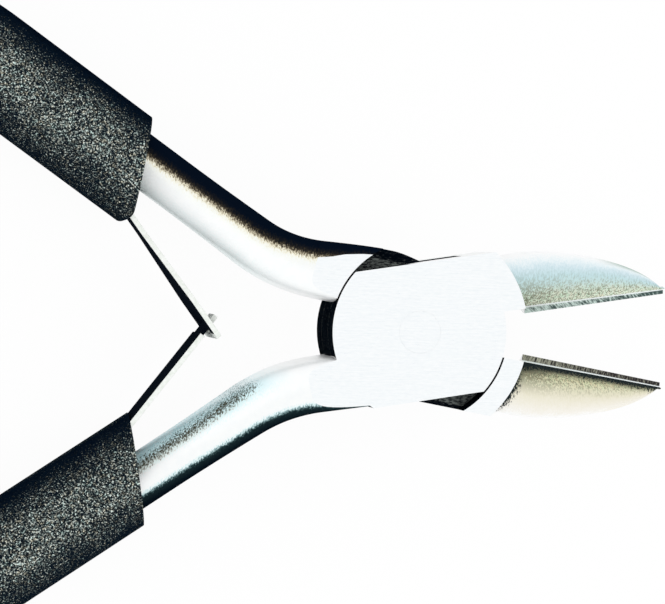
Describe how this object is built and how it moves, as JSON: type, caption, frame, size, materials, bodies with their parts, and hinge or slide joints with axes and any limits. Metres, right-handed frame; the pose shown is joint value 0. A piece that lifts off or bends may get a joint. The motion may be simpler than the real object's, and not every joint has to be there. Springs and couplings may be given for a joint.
{
  "type": "side cutting nippers",
  "caption": "Box-joint nippers with straight side-cutting jaws, interlocking leaf springs and soft foam grips.",
  "frame": {"origin": "on the pivot axis, at the flat rear face of the joint", "axes": "+X along the tool to the jaw tips, +Y across the tool on the side of the neck half's handle, +Z along the pivot axis towards the front face"},
  "size_m": [0.128, 0.0796, 0.0106],
  "materials": {
    "ground_steel": "satin, fine brushing",
    "spring_steel": "satin strip",
    "screw_steel": "dark oxide",
    "foam": "matte charcoal foam with fine grey speckle"
  },
  "bodies": {
    "box_side": {"box_half": "ground_steel", "pivot_pin": "ground_steel", "box_spring_screw": "screw_steel", "box_grip": "foam"},
    "neck_side": {"neck_half": "ground_steel", "neck_spring_screw": "screw_steel", "neck_grip": "foam"},
    "slotted_leaf": {"slotted_spring": "spring_steel"},
    "hooked_leaf": {"hooked_spring": "spring_steel"}
  },
  "joints": [
    {"name": "pivot", "type": "hinge", "parent": "box_side", "child": "neck_side", "pos_m": [0, 0, 0.004], "axis": [0, 0, 1], "range_deg": [-4, 19.5], "stiffness_Nm_per_rad": 1.2},
    {"name": "slotted_leaf_flex", "type": "hinge", "parent": "neck_side", "child": "slotted_leaf", "pos_m": [-0.03234, 0.01521, 0.004], "axis": [0, 0, 1], "range_deg": [-2.9, 13.4]},
    {"name": "hooked_leaf_flex", "type": "hinge", "parent": "box_side", "child": "hooked_leaf", "pos_m": [-0.03234, -0.01521, 0.004], "axis": [0, 0, 1], "range_deg": [-13.4, 2.9]}
  ],
  "couplings": [
    {"joint": "slotted_leaf_flex", "follows": "pivot", "ratio": 0.6791},
    {"joint": "hooked_leaf_flex", "follows": "pivot", "ratio": -0.6791}
  ]
}
